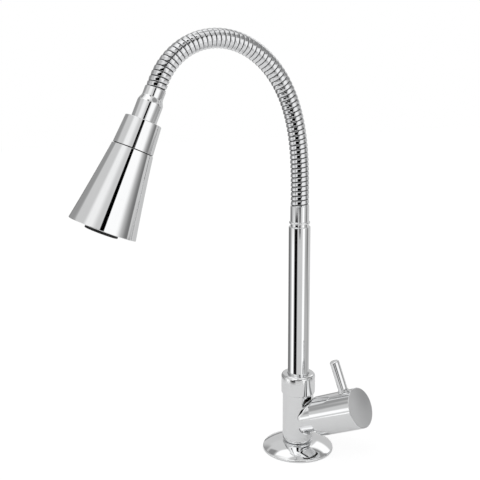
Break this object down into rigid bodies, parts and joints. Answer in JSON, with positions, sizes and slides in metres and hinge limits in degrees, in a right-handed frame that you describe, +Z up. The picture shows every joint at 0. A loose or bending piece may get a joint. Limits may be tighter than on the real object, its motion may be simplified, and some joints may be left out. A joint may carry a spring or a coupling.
{
  "type": "kitchen tap",
  "caption": "Deck-mounted kitchen tap: slanting round knob with a lever pin, swivelling riser, ribbed gooseneck hose that stays as bent, and a trumpet-shaped spray head with a turning cone.",
  "frame": {"origin": "centre of the flange's underside, on the worktop, on the axis of the body and riser", "axes": "+Z up the body and riser; the spout at rest hangs over towards -Y; the knob's branch rises towards +X and +Y; the shank hangs below the worktop towards -Z"},
  "size_m": [0.1002, 0.2476, 0.4313],
  "materials": {
    "polished_chrome": "polished",
    "satin_chrome": "satin",
    "plain_brass": "satin",
    "steel": "satin",
    "black_rubber": "matte",
    "black_plastic": "satin",
    "white_plastic": "satin",
    "ceramic": "gloss"
  },
  "bodies": {
    "root": {"flange": "polished_chrome", "deck_gasket": "black_rubber", "shank": "plain_brass", "fixing_washer": "steel", "backnut": "plain_brass", "body": "polished_chrome", "spout_nut": "polished_chrome", "valve_body": "plain_brass", "seat_seal": "black_rubber", "fixed_disc": "ceramic"},
    "handle": {"moving_disc": "ceramic", "spindle": "plain_brass", "spindle_rings": "black_rubber", "spindle_clip": "steel", "knob": "polished_chrome", "knob_cap": "satin_chrome", "knob_screw": "steel", "lever": "polished_chrome"},
    "spout": {"spout_bush": "plain_brass", "spout_rings": "black_rubber", "glide_ring": "white_plastic", "riser_tube": "polished_chrome", "lower_ferrule": "polished_chrome"},
    "hose_link_01": {"hose_link_01": "polished_chrome"},
    "hose_link_02": {"hose_link_02": "polished_chrome"},
    "hose_link_03": {"hose_link_03": "polished_chrome"},
    "hose_link_04": {"hose_link_04": "polished_chrome"},
    "hose_link_05": {"hose_link_05": "polished_chrome"},
    "hose_link_06": {"hose_link_06": "polished_chrome"},
    "hose_link_07": {"hose_link_07": "polished_chrome"},
    "hose_link_08": {"hose_link_08": "polished_chrome"},
    "hose_link_09": {"hose_link_09": "polished_chrome"},
    "hose_link_10": {"hose_link_10": "polished_chrome"},
    "hose_link_11": {"hose_link_11": "polished_chrome"},
    "hose_link_12": {"hose_link_12": "polished_chrome"},
    "hose_link_13": {"hose_link_13": "polished_chrome"},
    "hose_link_14": {"hose_link_14": "polished_chrome"},
    "hose_link_15": {"hose_link_15": "polished_chrome"},
    "head": {"hose_neck": "polished_chrome", "head_washer": "black_rubber", "head_ring": "polished_chrome", "port_disc": "white_plastic", "cone_ring": "black_rubber", "cone_clip": "steel"},
    "cone": {"head_cone": "polished_chrome", "jet_tube": "white_plastic", "spray_face": "black_plastic", "aerator": "black_plastic", "aerator_screen": "steel"}
  },
  "joints": [
    {"name": "spout_swivel", "type": "hinge", "parent": "root", "child": "spout", "pos_m": [0, 0, 0], "axis": [0, 0, 1], "continuous": true},
    {"name": "handle_turn", "type": "hinge", "parent": "root", "child": "handle", "pos_m": [0, 0, 0.0263], "axis": [0.8178, 0.4024, 0.4115], "range_deg": [0, 90]},
    {"name": "hose_bend_00", "type": "hinge", "parent": "spout", "child": "hose_link_01", "pos_m": [0, 0, 0.228], "axis": [1, 0, 0], "range_deg": [-8, 4]},
    {"name": "hose_bend_01", "type": "hinge", "parent": "hose_link_01", "child": "hose_link_02", "pos_m": [0, -0.00008, 0.24425], "axis": [1, 0, 0], "range_deg": [-8, 4]},
    {"name": "hose_bend_02", "type": "hinge", "parent": "hose_link_02", "child": "hose_link_03", "pos_m": [0, -0.0005, 0.26049], "axis": [1, 0, 0], "range_deg": [-8, 4]},
    {"name": "hose_side_03", "type": "hinge", "parent": "hose_link_03", "child": "hose_link_04", "pos_m": [0, -0.00169, 0.2767], "axis": [0, 0.9947, 0.1029], "range_deg": [-8, 8]},
    {"name": "hose_bend_04", "type": "hinge", "parent": "hose_link_04", "child": "hose_link_05", "pos_m": [0, -0.00407, 0.29276], "axis": [1, 0, 0], "range_deg": [-8, 4]},
    {"name": "hose_bend_05", "type": "hinge", "parent": "hose_link_05", "child": "hose_link_06", "pos_m": [0, -0.00805, 0.3085], "axis": [1, 0, 0], "range_deg": [-8, 4]},
    {"name": "hose_side_06", "type": "hinge", "parent": "hose_link_06", "child": "hose_link_07", "pos_m": [0, -0.01404, 0.32358], "axis": [0, 0.9008, 0.4342], "range_deg": [-8, 8]},
    {"name": "hose_bend_07", "type": "hinge", "parent": "hose_link_07", "child": "hose_link_08", "pos_m": [0, -0.0223, 0.33754], "axis": [1, 0, 0], "range_deg": [-8, 4]},
    {"name": "hose_bend_08", "type": "hinge", "parent": "hose_link_08", "child": "hose_link_09", "pos_m": [0, -0.03297, 0.34973], "axis": [1, 0, 0], "range_deg": [-8, 4]},
    {"name": "hose_side_09", "type": "hinge", "parent": "hose_link_09", "child": "hose_link_10", "pos_m": [0, -0.04594, 0.35942], "axis": [0, 0.5052, 0.863], "range_deg": [-8, 8]},
    {"name": "hose_bend_10", "type": "hinge", "parent": "hose_link_10", "child": "hose_link_11", "pos_m": [0, -0.06081, 0.36581], "axis": [1, 0, 0], "range_deg": [-8, 4]},
    {"name": "hose_bend_11", "type": "hinge", "parent": "hose_link_11", "child": "hose_link_12", "pos_m": [0, -0.0768, 0.36819], "axis": [1, 0, 0], "range_deg": [-8, 4]},
    {"name": "hose_side_12", "type": "hinge", "parent": "hose_link_12", "child": "hose_link_13", "pos_m": [0, -0.09282, 0.36608], "axis": [0, -0.2709, 0.9626], "range_deg": [-8, 8]},
    {"name": "hose_bend_13", "type": "hinge", "parent": "hose_link_13", "child": "hose_link_14", "pos_m": [0, -0.10754, 0.35943], "axis": [1, 0, 0], "range_deg": [-8, 4]},
    {"name": "hose_bend_14", "type": "hinge", "parent": "hose_link_14", "child": "hose_link_15", "pos_m": [0, -0.11962, 0.34872], "axis": [1, 0, 0], "range_deg": [-8, 4]},
    {"name": "hose_bend_15", "type": "hinge", "parent": "hose_link_15", "child": "head", "pos_m": [0, -0.12815, 0.335], "axis": [1, 0, 0], "range_deg": [-8, 4]},
    {"name": "cone_twist", "type": "hinge", "parent": "head", "child": "cone", "pos_m": [0, -0.12815, 0.335], "axis": [0, -0.4067, -0.9135], "range_deg": [0, 90]}
  ],
  "couplings": [
    {"joint": "hose_bend_01", "follows": "hose_bend_00", "ratio": 1},
    {"joint": "hose_bend_02", "follows": "hose_bend_00", "ratio": 1},
    {"joint": "hose_bend_04", "follows": "hose_bend_00", "ratio": 1},
    {"joint": "hose_bend_05", "follows": "hose_bend_00", "ratio": 1},
    {"joint": "hose_side_06", "follows": "hose_side_03", "ratio": 1},
    {"joint": "hose_bend_07", "follows": "hose_bend_00", "ratio": 1},
    {"joint": "hose_side_09", "follows": "hose_side_03", "ratio": 1},
    {"joint": "hose_bend_10", "follows": "hose_bend_08", "ratio": 1},
    {"joint": "hose_bend_11", "follows": "hose_bend_08", "ratio": 1},
    {"joint": "hose_side_12", "follows": "hose_side_03", "ratio": 1},
    {"joint": "hose_bend_13", "follows": "hose_bend_08", "ratio": 1},
    {"joint": "hose_bend_14", "follows": "hose_bend_08", "ratio": 1},
    {"joint": "hose_bend_15", "follows": "hose_bend_08", "ratio": 1}
  ]
}
